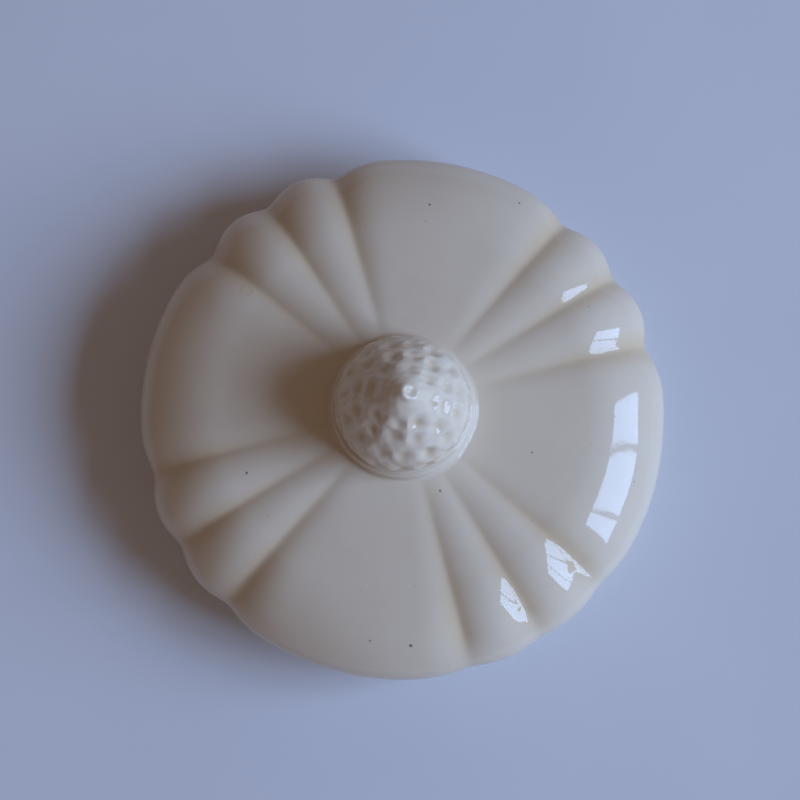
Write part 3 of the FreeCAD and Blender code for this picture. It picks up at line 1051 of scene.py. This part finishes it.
    def build(self, glaze: CreamGlaze) -> list[bpy.types.Object]:
        """Build the foot, its slip joint and the berry, and glaze them."""
        foot = make_mesh("knob_foot_ring", self.foot_rings(), Ends.POLES)
        bead = make_mesh("knob_bead", self.bead_rings(), Ends.LOOP)
        rings, pooling_and_shade = self.berry_rings()
        berry = make_mesh("dimpled_berry", rings, Ends.POLES, {"pooling_and_shade": pooling_and_shade})
        hand_over(foot, "knob_foot", glaze.build())
        hand_over(bead, "knob_slip_joint", glaze.build())
        hand_over(berry, "knob_berry", glaze.build())
        return [foot, bead, berry]


# ----------------------------------------
# The studio
# ----------------------------------------


@dataclass
class Studio:
    """A pale ground, one low window light in panes, a weak warm fill and the camera.

    Directions are given as seen by the camera: 0 degrees points to the right of the frame and
    90 degrees to its top.

    Attributes:
        floor: Height of the ground.
        reach: Distance from the middle of the ground to its sides.
        heading: Angle in the lid's frame that points to the right of the frame.
        window_turn: Direction that the window stands square to.
        panes: Edges of the window's panes, in degrees round from the right, as (from, to).
        window_low: Height of the window's lower edge, in degrees above the ground.
        window_high: Height of its upper edge.
        window_away: Distance of the window's plane.
        window_light: Brightness of the window by colour.
        fill: Brightness of the room by colour.
        elevation: Height of the camera above the ground, in degrees.
        distance: Distance of the camera from what it aims at.
        lens: Focal length in millimetres.
        aim: What the camera aims at, right of and above the lid's centre in the frame.
    """

    floor: float
    reach: float = 2.5
    heading: float = -32.0
    window_turn: float = -10.0
    panes: tuple[tuple[float, float], ...] = ((12.3, -1.2), (-2.9, -18.6), (-20.2, -32.5))
    window_low: float = 17.5
    window_high: float = 46.0
    window_away: float = 1.6
    window_light: tuple[float, float, float] = (4.85, 6.95, 11.3)
    fill: tuple[float, float, float] = (0.14, 0.106, 0.092)
    elevation: float = 82.2
    distance: float = 0.5
    lens: float = 117.3
    aim: tuple[float, float] = (-0.46 * MM, 3.37 * MM)

    def direction(self, turn: float, up: float = 0.0) -> Vector:
        """Unit vector at an angle round from the right of the frame and above the ground."""
        bearing = math.radians(turn + self.heading)
        rise = math.radians(up)
        level = math.cos(rise)
        return Vector((level * math.cos(bearing), level * math.sin(bearing), math.sin(rise)))

    def build_ground(self) -> None:
        """Lay the ground."""
        near, far = -self.reach, self.reach
        corners = [(near, near), (far, near), (far, far), (near, far)]
        mesh = bpy.data.meshes.new("ground")
        mesh.from_pydata([(x, y, self.floor) for x, y in corners], [], [(0, 1, 2, 3)])
        mesh.materials.append(PaleGround().build())
        ground = bpy.data.objects.new("ground", mesh)
        bpy.context.scene.collection.objects.link(ground)

    def build_window(self) -> None:
        """Hang one area light for each pane in the upright plane of the window."""
        toward, along = self.direction(self.window_turn), self.direction(self.window_turn + 90.0)
        low, high = (self.window_away * math.tan(math.radians(edge))
                     for edge in (self.window_low, self.window_high))
        strongest = max(self.window_light)
        for number, pane_edges in enumerate(self.panes):
            left, right = (self.window_away * math.tan(math.radians(edge - self.window_turn))
                           for edge in pane_edges)
            light = bpy.data.lights.new(f"window_pane_{number}", "AREA")
            light.shape = "RECTANGLE"
            light.size = left - right
            light.size_y = high - low
            light.color = [part / strongest for part in self.window_light]
            light.energy = strongest * light.size * light.size_y * math.pi
            pane = bpy.data.objects.new(light.name, light)
            pane.location = (toward * self.window_away + along * ((left + right) / 2.0)
                             + Vector((0.0, 0.0, (high + low) / 2.0)))
            pane.rotation_mode = "QUATERNION"
            pane.rotation_quaternion = (-toward).to_track_quat("-Z", "Y")
            pane.visible_camera = False
            bpy.context.scene.collection.objects.link(pane)

    def build_fill(self) -> None:
        """Light the room evenly with a weak warm fill."""
        world = bpy.data.worlds.new("room")
        world.use_nodes = True
        world.node_tree.nodes["Background"].inputs["Color"].default_value = (*self.fill, 1.0)
        bpy.context.scene.world = world

    def build_camera(self) -> None:
        """Set the camera above the lid, leaning a little towards the bottom of the frame."""
        data = bpy.data.cameras.new("camera")
        data.lens = self.lens
        data.sensor_width = 36.0
        camera = bpy.data.objects.new("camera", data)
        back = self.direction(-90.0, self.elevation)
        across, up = self.direction(0.0), self.direction(90.0)
        target = across * self.aim[0] + up * self.aim[1]
        camera.location = target + back * self.distance
        camera.rotation_mode = "QUATERNION"
        camera.rotation_quaternion = (-back).to_track_quat("-Z", "Y")
        bpy.context.scene.collection.objects.link(camera)
        bpy.context.scene.camera = camera

    def build(self) -> None:
        """Set up the ground, the lights, the camera and plain display of colours."""
        self.build_camera()
        self.build_ground()
        self.build_window()
        self.build_fill()
        bpy.context.scene.view_settings.view_transform = "Standard"


BLEMISHES = (
    Blemish(Flaw.SPECK, 39.5, 50.5, 0.32),
    Blemish(Flaw.SPECK, 36.0, 51.0, 0.22),
    Blemish(Flaw.SPECK, 46.0, 29.0, 0.28),
    Blemish(Flaw.SPECK, 44.0, 240.0, 0.45),
    Blemish(Flaw.SPECK, 43.5, 230.0, 0.25),
    Blemish(Flaw.PIT, 31.5, 170.5, 0.35),
    Blemish(Flaw.PIT, 17.0, 262.0, 0.35),
    Blemish(Flaw.SPECK, 25.5, 309.0, 0.25),
    Blemish(Flaw.RING, 37.0, 110.0, 1.30),
)


def main() -> None:
    """Build the lid's sub-assemblies in order, then the studio round them."""
    logging.basicConfig(level=logging.INFO, format="%(name)s: %(message)s")
    foot_low, foot_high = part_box("locating_flange")
    knob_low, knob_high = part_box("knob_foot")
    berry_low, berry_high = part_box("knob_berry")
    glaze = CreamGlaze("cream_glaze")
    dome = LobedDome()
    dome.build(CreamGlaze("dome_glaze"), BLEMISHES)
    flange = LocatingFlange(bore=dome.bore, foot=foot_low.z, top=foot_high.z)
    flange.build(CreamGlaze("flange_glaze", bare_below=foot_low.z + 0.5 * MM))
    knob = BerryKnob(dome, foot_top=berry_low.z, height=berry_high.z - berry_low.z)
    knob.build(glaze)
    log.info("knob foot from %.2f to %.2f mm", knob_low.z / MM, knob_high.z / MM)
    Studio(floor=frame_box[0].z).build()


if __name__ == "__main__":
    main()
